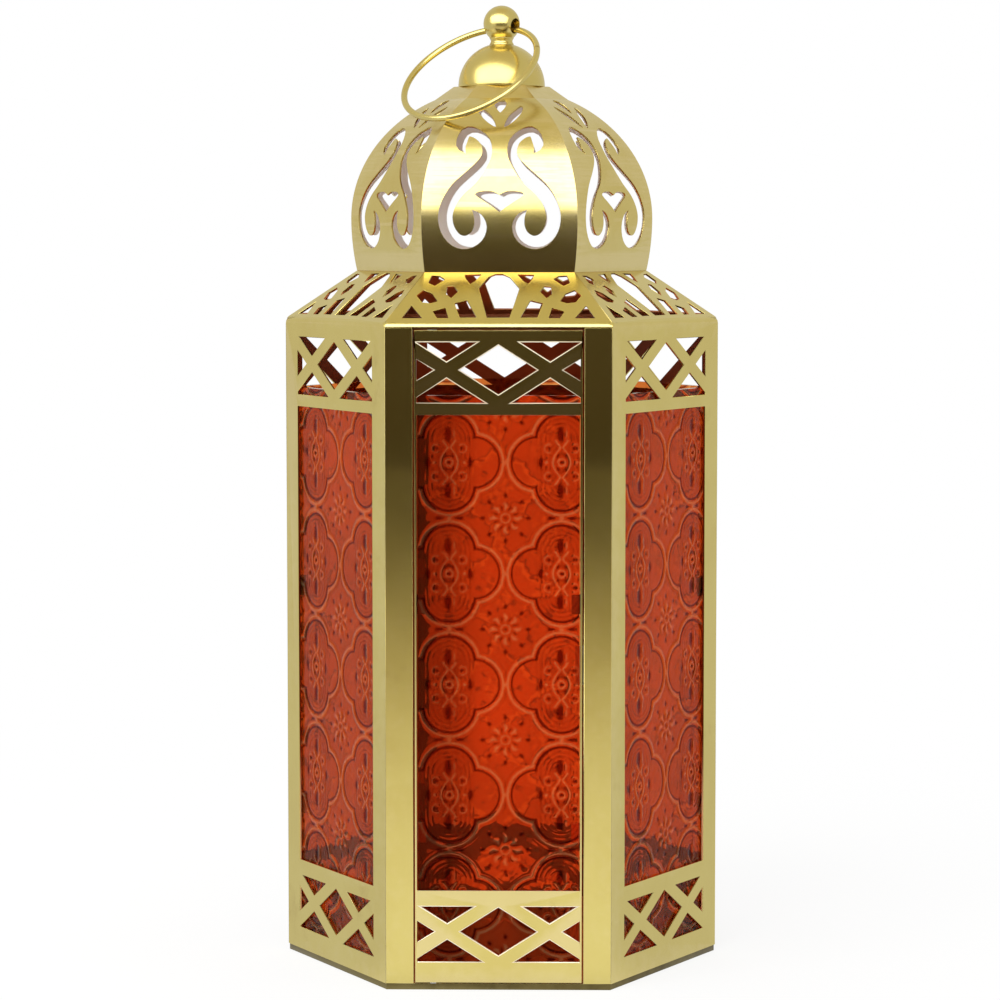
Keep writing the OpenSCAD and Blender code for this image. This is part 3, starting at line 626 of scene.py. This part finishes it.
def pressedPattern(across, up, look):
    # height of the relief in mm, and how dark the painted shade lies there, from 0 (painted highlight on
    # the ribs) to 1 (painted shade in the hollows); the numbers below are millimetres on the pane and
    # strengths from 0 to 1
    u = wrapped(across - look["firstAcross"], look["pitchAcross"])
    v = wrapped(up - look["firstUp"], look["pitchUp"])
    p = wrapped(across - look["firstAcross"] - look["pitchAcross"] / 2, look["pitchAcross"])
    q = wrapped(up - look["firstUp"] - look["pitchUp"] / 2, look["pitchUp"])
    wide, tall = np.abs(u), np.abs(v)
    oval = stadium(u, v, look["ovalRadius"], look["ovalReach"])
    lobe = stadium(v, u, look["lobeRadius"], look["lobeReach"])
    edge = np.minimum(oval, lobe)
    inOval = 1 / (1 + np.exp((oval + 0.5) / 0.25))
    light = hill(edge - 0.66, 0.56)
    dark = 0.9 * hill(edge + 0.50, 0.44) + 0.35 * hill(edge - 2.05, 0.32)
    # crossed strands, ring and drops in the upright oval
    dark += 0.20 * blob(u, v, 3.4, 6.4)
    loop = 0.35 + 2.3 * np.abs(np.cos(math.pi * tall / 9.2))
    strands = np.where(tall < 7.0, hill(wide - loop, 0.58), 0)
    ring = hill(np.hypot(u, v) - 1.1, 0.45)
    light = np.maximum(light, np.maximum(strands, ring))
    dark += 0.8 * blob(u, v, 0.5, 0.5) + 0.9 * blob(wide - 1.35, tall - 2.7, 0.5, 1.2)
    dark += 1.1 * blob(u + 0.4, tall - 8.7, 0.95, 2.1) + 1.1 * blob(wide - 6.3, v, 0.95, 1.35)
    light = np.maximum(light, 0.9 * blob(u - 1.5, tall - 8.7, 0.55, 2.4))
    light = np.maximum(light, blob(wide - 4.7, v, 0.95, 0.8))
    curls = np.hypot(wide - 4.0, tall - 4.3)
    light = np.maximum(light, 0.85 * hill(curls - 1.3, 0.45) * (wide > 3.1))
    dark += 0.7 * hill(curls, 0.7)
    # feathered rings inside the oval, broken up
    broken = np.sin(up * 1.15 + 2 * np.sin(across * 0.8)) * np.sin(across * 0.9 - up * 0.31 + 1.0)
    shelf = inOval * hill(oval + 3.3, 2.2)
    feather = shelf * np.cos(2 * math.pi * oval / 1.4) * (0.6 + 0.5 * broken)
    light = np.maximum(light, 0.45 * np.maximum(feather, 0))
    dark += 0.28 * np.maximum(-feather, 0)
    # a fan in each side lobe
    fan = np.arctan2(v, wide - 5.0)
    inLobe = hill(lobe + 5.0, 3.2) * np.where(wide > 9.2, 1.0, 0.0)
    dark += 0.10 * inLobe * (1 + np.cos(fan * 18))
    # rosette in the four-pointed cell
    distance, angle = np.hypot(p, q), np.arctan2(q, p)
    eighth = wrapped(angle, math.pi / 4)
    dark += hill(distance * np.cos(eighth) - 6.9, 1.1) * hill(distance * np.sin(eighth), 0.75)
    petals = (0.5 + 0.5 * np.cos(8 * angle + 0.6 * np.sin(distance * 2.2))) * hill(distance - 3.6, 1.7)
    light = np.maximum(light, 0.95 * petals)
    dark += 0.75 * (0.5 - 0.5 * np.cos(8 * angle)) * hill(distance - 3.2, 1.3) + 0.7 * hill(distance, 0.7)
    light = np.maximum(light, 0.8 * hill(distance - 1.4, 0.42))
    # studs where the medallions meet
    light = np.maximum(light, blob(u, q, 1.0, 1.0))
    light = np.maximum(light, 0.9 * blob(p, v, 0.9, 1.0))
    dark += blob(wide - 3.0, q, 1.4, 0.6) + 0.6 * blob(p, tall - 2.5, 0.6, 1.1)
    ragged = (np.sin(across * 0.61 + 1.3 * np.sin(up * 0.23)) * np.sin(up * 0.47 + 0.9)
              + 0.6 * np.sin(across * 1.7 + up * 1.1) * np.sin(up * 1.9 - across * 0.4 + 2.0))
    dark = np.minimum(dark, 1)
    dark = dark * (1 - light)
    height = look["rib"] * light - look["groove"] * dark + look["unevenness"] * ragged
    plain = look["plain"]
    depth = plain + (1 - plain) * dark - plain * light + look["ovalTone"] * inOval * (1 - light)
    return height, np.clip(depth, 0, 1)


def makePane(name, low, high, look):
    # a front pane between these corners, its relief on the outside and its back flat
    width, tall = (high.x - low.x) / mm, (high.z - low.z) / mm
    columns, rows = round(width / look["cell"]), round(tall / look["cell"])
    bpy.ops.mesh.primitive_grid_add(x_subdivisions=columns, y_subdivisions=rows, size=1)
    pane = bpy.context.object
    pane.name = name
    pane.data.name = name
    points = coords(pane)
    across = points[:, 0] * width + (low.x + high.x) / 2 / mm
    up = points[:, 1] * tall + (low.z + high.z) / 2 / mm
    height, glassShading = pressedPattern(across, up, look)
    rim = np.minimum.reduce([across - low.x / mm, high.x / mm - across, up - low.z / mm, high.z / mm - up])
    height = height * np.clip(rim / look["rimFade"], 0, 1)
    top = look["rib"] + look["headroom"] * look["unevenness"]
    placed = np.column_stack([across * mm, low.y + (top - height) * mm, up * mm])
    setCoords(pane, placed)
    depth = pane.data.attributes.new("glassShadingDepth", "FLOAT", "POINT")
    depth.data.foreach_set("value", glassShading.astype(np.float32))
    editAll(pane)
    bpy.ops.mesh.select_mode(type="EDGE")
    bpy.ops.mesh.select_all(action="DESELECT")
    bpy.ops.mesh.select_non_manifold(extend=False, use_wire=False, use_boundary=True,
                                     use_multi_face=False, use_non_contiguous=False, use_verts=False)
    bpy.ops.mesh.extrude_region_move(TRANSFORM_OT_translate={"value": (0, high.y - low.y, 0)})
    bpy.ops.mesh.edge_face_add()
    leaveEdit()
    points = coords(pane)
    behind = points[:, 1] > (low.y + high.y) / 2
    points[behind, 1] = high.y
    setCoords(pane, points)
    depth = pane.data.attributes["glassShadingDepth"]
    glassShading = np.empty(len(points), np.float32)
    depth.data.foreach_get("value", glassShading)
    glassShading[behind] = look["plain"]
    depth.data.foreach_set("value", glassShading)
    editAll(pane)
    bpy.ops.mesh.normals_make_consistent(inside=False)
    leaveEdit()
    shadeSmooth(pane, look["smooth"])
    return pane


backLow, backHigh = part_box("glass_pane_3")
frontPane = makePane("glassPane3", Vector((backLow.x, -backHigh.y, backLow.z)),
                     Vector((backHigh.x, -backLow.y, backHigh.z)), paneLook)
for side in (1, 2, 4, 5):
    stand(turnedCopy(frontPane, f"glassPane{side}", side * sideTurn), f"glass_pane_{side}", sideGlass)
frontPane.data.transform(Matrix.Rotation(math.pi, 4, "Z"))
stand(frontPane, "glass_pane_3", sideGlass)
doorLow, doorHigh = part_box("door_glass")
stand(makePane("doorPane", doorLow, doorHigh, paneLook), "door_glass", doorGlassFinish)
print("pressed glass made")


# Dome gores: the outer skin of the CAD gore, laid on its true curve and given its thickness again
goreLook = {
    "widest": 41.7, "widestUp": 237.0, "archRadius": 41.99, "lowerRadius": 88.0,
    "shoulderUp": 274.6, "neck": 13.2, "topUp": 278.8, "sheet": 0.6, "slice": 1.1,
    "edge": 0.14, "sharp": 45, "smooth": 40, "seamReach": 0.05, "seamGap": 0.02, "skinGap": 0.12,
    "skinFacing": 0.25, "topFacing": 0.5, "endFacing": 0.2, "lipFacing": 0.9, "skinMatch": 0.9975,
    "steepTilt": 0.75, "middleUp": 225, "insideFacing": -0.7}


def goreReach(up, look):
    # distance of the outer skin from the middle, at a height
    rise = np.clip(up - look["widestUp"], 0, look["shoulderUp"] - look["widestUp"])
    arch = look["widest"] - look["archRadius"] + np.sqrt(look["archRadius"] ** 2 - rise ** 2)
    fall = np.minimum(up - look["widestUp"], 0)
    lower = look["widest"] - look["lowerRadius"] + np.sqrt(look["lowerRadius"] ** 2 - fall ** 2)
    share = np.clip((up - look["shoulderUp"]) / (look["topUp"] - look["shoulderUp"]), 0, 1)
    return np.where(fall < 0, lower, arch + share * (look["neck"] - arch))


def goreTilt(up, look):
    # how far the outer skin's normal points up, in radians
    radius = np.where(up < look["widestUp"], look["lowerRadius"], look["archRadius"])
    tilt = np.arcsin(np.clip((up - look["widestUp"]) / radius, -1, 1))
    shoulder = float(goreReach(np.array(look["shoulderUp"]), look))
    neck = math.atan2(shoulder - look["neck"], look["topUp"] - look["shoulderUp"])
    return np.where(up > look["shoulderUp"] + 0.01, neck, tilt)


def settleGoreNormals(gore, look):
    # true normals on both skins, so that reflections run smoothly across the triangles
    mesh = gore.data
    points = coords(gore) / mm
    corners = np.zeros((len(mesh.loops), 3))
    for face in mesh.polygons:
        up = np.array([points[v][2] for v in face.vertices])
        middleTilt = float(goreTilt(np.array(face.center.z / mm), look))
        skin = Vector((0, -math.cos(middleTilt), math.sin(middleTilt)))
        facing = face.normal.dot(skin)
        if abs(facing) > look["skinMatch"]:
            steep = middleTilt > look["steepTilt"]
            tilt = np.full(len(up), middleTilt) if steep else goreTilt(up, look)
            normals = np.column_stack([np.zeros(len(up)), -np.cos(tilt), np.sin(tilt)])
            corners[face.loop_start:face.loop_start + face.loop_total] = math.copysign(1, facing) * normals
    mesh.normals_split_custom_set(corners.tolist())


def makeGore(look):
    # the front gore: skin kept, cut into level slices, laid on the curve, made solid again
    gore = mergedCopy("dome_gore_1", "domeGore1")
    mesh = bmesh.new()
    mesh.from_mesh(gore.data)
    doomed = []
    for face in mesh.faces:
        middle, out = face.calc_center_median() / mm, -face.normal.y
        onSkin = abs(-middle.y - float(goreReach(np.array(middle.z), look))) < look["skinGap"]
        facesOut = out > look["skinFacing"] or face.normal.z > look["topFacing"]
        onLip = face.normal.z > look["lipFacing"] and middle.z > look["topUp"] - look["seamReach"]
        if not onLip and not (onSkin and facesOut and abs(face.normal.x) < look["endFacing"]):
            doomed.append(face)
    bmesh.ops.delete(mesh, geom=doomed, context="FACES")
    mesh.to_mesh(gore.data)
    mesh.free()
    low = min(v.co.z for v in gore.data.vertices) / mm
    for index in range(1, int((look["topUp"] - low) / look["slice"])):
        editAll(gore)
        bpy.ops.mesh.bisect(plane_co=(0, 0, (low + index * look["slice"]) * mm), plane_no=(0, 0, 1))
        leaveEdit()
    points = coords(gore) / mm
    old = -points[:, 1]
    onTop = points[:, 2] > look["topUp"] - 0.01
    new = np.where(onTop, old, goreReach(points[:, 2], look))
    onSeam = np.abs(points[:, 0]) > old * math.tan(halfTurn) - look["seamReach"]
    points[:, 0] *= np.where(onSeam, new / old, 1)
    points[:, 1] = -new
    setCoords(gore, points * mm)
    applyModifier(gore, "SOLIDIFY", thickness=look["sheet"] * mm, offset=-1, use_even_offset=True,
                  use_quality_normals=True)
    points = coords(gore)
    limit = -points[:, 1] * math.tan(halfTurn)
    points[:, 0] = np.clip(points[:, 0], -limit, limit)
    setCoords(gore, points)

    def notOnSeam(edge, middle):
        return abs(middle.x) < -middle.y * math.tan(halfTurn) - look["seamGap"] * mm

    roundEdges(gore, look["edge"] * mm, 2, look["sharp"], notOnSeam)
    shadeSmooth(gore, look["smooth"])
    settleGoreNormals(gore, look)
    return gore


def markInside(piece, inwards):
    # the second material goes on faces that look inwards
    for face in piece.data.polygons:
        if inwards(face):
            face.material_index = 1


def looksToDomeMiddle(face):
    away = face.center - Vector((0, 0, goreLook["middleUp"] * mm))
    return face.normal.dot(away.normalized()) < goreLook["insideFacing"]


goreOne = makeGore(goreLook)
for side in range(1, 6):
    twin = turnedCopy(goreOne, f"domeGore{side + 1}", side * sideTurn)
    stand(twin, f"dome_gore_{side + 1}", glossGold, paleLitInside)
    markInside(twin, looksToDomeMiddle)
stand(goreOne, "dome_gore_1", glossGold, paleLitInside)
markInside(goreOne, looksToDomeMiddle)
print("dome gores made")


# Flat sheet: walls, door and roof, with rolled-over punched edges and an inside in dark painted shade
sheetLook = {
    "edge": 0.17, "doorEdge": 0.30, "rimEdge": 0.10, "rim": 0.7, "roofEdge": 0.14, "segments": 3,
    "sharp": 38, "smooth": 35, "side": 60, "outerFace": 59.75, "frontFace": 59, "cornerGap": 0.9,
    "roll": 1.05, "rollSegments": 5, "rollFace": 59.3, "rollFoot": 203.9, "rollTop": 205.84,
    "rollLean": (9.0, 43.6), "rollDown": -0.1, "eaveFace": 59.95, "eaveUp": 205.2, "eaveGap": 0.02,
    "flatShare": 0.02, "flatMatch": 0.9994, "punchedMatch": 0.99,
    "insideFacing": -0.3, "outsideFacing": 0.5}


def facesAway(face):
    # how far a face looks away from the lantern's axis, from -1 to 1
    return face.normal.dot(Vector((face.center.x, face.center.y, 0)).normalized())


def looksIn(face):
    return facesAway(face) < sheetLook["insideFacing"]


def offSeam(edge, middle):
    # true away from the hexagon's corners, where two panels meet in one line
    turnAt = (math.atan2(middle.y, middle.x) - halfTurn) % sideTurn
    return min(turnAt, sideTurn - turnAt) * math.hypot(middle.x, middle.y) > sheetLook["cornerGap"] * mm


def apothem(point):
    # distance from the middle to the side of the hexagon that the point lies on
    return max(point.x * math.sin(k * sideTurn) - point.y * math.cos(k * sideTurn) for k in range(6))


def onOuterFace(edge, middle):
    return apothem(middle) > sheetLook["outerFace"] * mm


def mainDirections(piece, share):
    # the directions that more than this share of the surface faces
    area = {}
    for face in piece.data.polygons:
        key = tuple(round(c, 2) for c in face.normal)
        area[key] = area.get(key, 0) + face.area
    total = sum(area.values())
    return [Vector(key).normalized() for key, size in area.items() if size > share * total]


def settleSheetNormals(sheet, look, rolled):
    # flat faces get their own normal, and a rolled eave one that leans back evenly with the height
    mesh = sheet.data
    corners = np.zeros((len(mesh.loops), 3))
    flats = mainDirections(sheet, look["flatShare"])
    foot, rollHeight = look["rollFoot"] * mm, (look["rollTop"] - look["rollFoot"]) * mm
    lean, leanMore = look["rollLean"]
    for face in mesh.polygons:
        onRoll = (rolled and face.center.z < (look["rollTop"] + look["eaveGap"]) * mm
                  and face.normal.z > look["rollDown"] and facesAway(face) > look["outsideFacing"]
                  and apothem(face.center) > look["rollFace"] * mm)
        if onRoll:
            level = Vector((face.normal.x, face.normal.y, 0)).normalized()
            for place, vertex in enumerate(face.vertices):
                rise = (mesh.vertices[vertex].co.z - foot) / rollHeight
                tilt = math.radians(lean + min(max(rise, 0), 1) * leanMore)
                corners[face.loop_start + place] = level * math.cos(tilt) + Vector((0, 0, math.sin(tilt)))
        elif any(face.normal.dot(direction) > look["flatMatch"] for direction in flats):
            corners[face.loop_start:face.loop_start + face.loop_total] = face.normal
    mesh.normals_split_custom_set(corners.tolist())


def keepInside(piece, limit):
    # nothing stands out of the hexagon of the walls
    points = coords(piece)
    for k in range(6):
        side = np.array([math.sin(k * sideTurn), -math.cos(k * sideTurn), 0])
        points -= np.outer(np.maximum(points @ side - limit, 0), side)
    setCoords(piece, points)


def keepWallEdge(edge, middle):
    front = middle.y < -sheetLook["frontFace"] * mm
    return onOuterFace(edge, middle) and (front or offSeam(edge, middle))


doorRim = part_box("door_frame")


def insideRim(point):
    margin = sheetLook["rim"] * mm
    return (doorRim[0].x + margin < point.x < doorRim[1].x - margin
            and doorRim[0].z + margin < point.z < doorRim[1].z - margin)


def onOpening(edge, middle):
    return onOuterFace(edge, middle) and insideRim(middle)


def onRim(edge, middle):
    return onOuterFace(edge, middle) and not insideRim(middle)


def onEave(edge, middle):
    outer, up, gap = (sheetLook[key] * mm for key in ("eaveFace", "eaveUp", "eaveGap"))
    return all(apothem(v.co) > outer and abs(v.co.z - up) < gap for v in edge.verts)


def makeSheet(node, name, width, keep, inside):
    # a CAD sheet with its outer edges rounded; a roof panel's eave is rolled first
    sheet, look = mergedCopy(node, name), sheetLook
    rolled = node.startswith("roof")
    if rolled:
        roundEdges(sheet, look["roll"] * mm, look["rollSegments"], look["sharp"], onEave)
    if node == "door_frame":
        roundEdges(sheet, look["rimEdge"] * mm, 2, look["sharp"], onRim)
    shadeSmooth(sheet, look["smooth"])
    roundEdges(sheet, width * mm, look["segments"], look["sharp"], keep, True)
    keepInside(sheet, look["side"] * mm)
    settleSheetNormals(sheet, look, rolled)
    stand(sheet, node, satinGold, inside)
    markInside(sheet, looksIn)
    return sheet


def markEdges(sheet, slot):
    # punched edges inside the door's rim take the material of this slot, the cream painted highlight
    flats = mainDirections(sheet, sheetLook["flatShare"])
    for face in sheet.data.polygons:
        flat = any(face.normal.dot(direction) > sheetLook["punchedMatch"] for direction in flats)
        if face.material_index == 0 and not flat and insideRim(face.center):
            face.material_index = slot


# the inside faces of the walls and the door take the dark maroon painted shade
for side in range(1, 6):
    makeSheet(f"wall_panel_{side}", f"wallPanel{side}", sheetLook["edge"], keepWallEdge, innerPaintedShading)
door = makeSheet("door_frame", "doorFrame", sheetLook["doorEdge"], onOpening, innerPaintedShading)
door.data.materials.append(creamEdgeHighlight)
markEdges(door, 2)
for side in range(1, 7):
    makeSheet(f"roof_panel_{side}", f"roofPanel{side}", sheetLook["roofEdge"], offSeam, underRoofShade)
print("walls, door and roof made")


# Turned and formed pieces
roundLook = {
    "base_tray": ("baseTray", baseShadeGold, 0.22, 0.6),
    "candle_cup": ("candleCup", plainSteel, 0.15, None),
    "cup_rivet": ("cupRivet", plainSteel, 0.18, None),
    # the clips, the eave frame and the crown plate take the inside's dark maroon painted shade
    "glass_clips": ("glassClips", innerPaintedShading, 0.10, 0.6),
    "door_clips": ("doorClips", innerPaintedShading, 0.10, 0.6),
    "hinge_pin_top": ("hingePinTop", plainSteel, 0.10, None),
    "hinge_pin_bottom": ("hingePinBottom", plainSteel, 0.10, None),
    "door_catch": ("doorCatch", plainSteel, 0.12, 0.6),
    "catch_rivets": ("catchRivets", plainSteel, 0.12, None),
    "eave_frame": ("eaveFrame", innerPaintedShading, 0.12, 0.6),
    "crown_plate": ("crownPlate", innerPaintedShading, 0.12, None),
    "cap": ("roundCap", capGold, 0.14, None),
    "neck_collar": ("neckCollar", capGold, 0.12, None),
    "finial_ball": ("finialBall", glossGold, 0.16, None),
    "finial_nut": ("finialNut", plainSteel, 0.14, None),
    "hanging_ring": ("hangingRing", glossGold, 0.12, None)}
formedLook = {"segments": 2, "sharp": 45, "smooth": 38}
trayInsideLook = {"facing": 0.7, "reach": 59}
waistLook = {"depth": 0.46, "slices": 9, "skin": 0.05}
wireLook = {"match": 0.85}


def looksUp(face):
    inside = apothem(face.center) < trayInsideLook["reach"] * mm
    return inside and face.normal.z > trayInsideLook["facing"]


def drawInWaist(piece, look):
    # the collar's outside is drawn in to a hollow curve
    points = coords(piece)
    reach = np.hypot(points[:, 0], points[:, 1])
    outer = reach > reach.max() - look["skin"] * mm
    low, high = points[outer, 2].min(), points[outer, 2].max()
    for index in range(1, look["slices"]):
        level = low + (high - low) * index / look["slices"]
        editAll(piece)
        bpy.ops.mesh.bisect(plane_co=(0, 0, level), plane_no=(0, 0, 1))
        leaveEdit()
    points = coords(piece)
    reach = np.hypot(points[:, 0], points[:, 1])
    outer = reach > reach.max() - look["skin"] * mm
    rise = (points[:, 2] - low) / (high - low)
    draw = np.where(outer, look["depth"] * mm * np.sin(math.pi * np.clip(rise, 0, 1)) ** 2, 0)
    points[:, :2] *= (1 - draw / np.maximum(reach, mm))[:, None]
    setCoords(piece, points)


def settleRingNormals(ring, look):
    # true normals of a round wire bent to a circle, which is fitted to its points first
    points = coords(ring)
    middle = points.mean(axis=0)
    across, along, axis = np.linalg.svd(points - middle, full_matrices=False)[2]
    flat = np.column_stack([(points - middle) @ across, (points - middle) @ along])
    terms = np.column_stack([2 * flat, np.ones(len(flat))])
    flat -= np.linalg.lstsq(terms, (flat ** 2).sum(axis=1), rcond=None)[0][:2]
    reach = np.hypot(flat[:, 0], flat[:, 1])
    circle = (reach.max() + reach.min()) / 2
    core = flat / reach[:, None] * circle
    out = flat - core
    normals = out[:, :1] * across + out[:, 1:] * along + ((points - middle) @ axis)[:, None] * axis
    normals /= np.linalg.norm(normals, axis=1)[:, None]
    corners = np.zeros((len(ring.data.loops), 3))
    for face in ring.data.polygons:
        for place, vertex in enumerate(face.vertices):
            if face.normal.dot(Vector(normals[vertex])) > look["match"]:
                corners[face.loop_start + place] = normals[vertex]
    ring.data.normals_split_custom_set(corners.tolist())


for node, (name, material, width, flatten) in roundLook.items():
    piece = mergedCopy(node, name, flatten)
    if node == "neck_collar":
        drawInWaist(piece, waistLook)
    roundEdges(piece, width * mm, formedLook["segments"], formedLook["sharp"])
    shadeSmooth(piece, formedLook["smooth"])
    if node == "hanging_ring":
        settleRingNormals(piece, wireLook)
    # the base tray takes the dark painted shade outside and the pale painted light on its floor
    if node == "base_tray":
        stand(piece, node, material, trayFloorLight)
        markInside(piece, looksUp)
    else:
        stand(piece, node, material)
print("small pieces made")
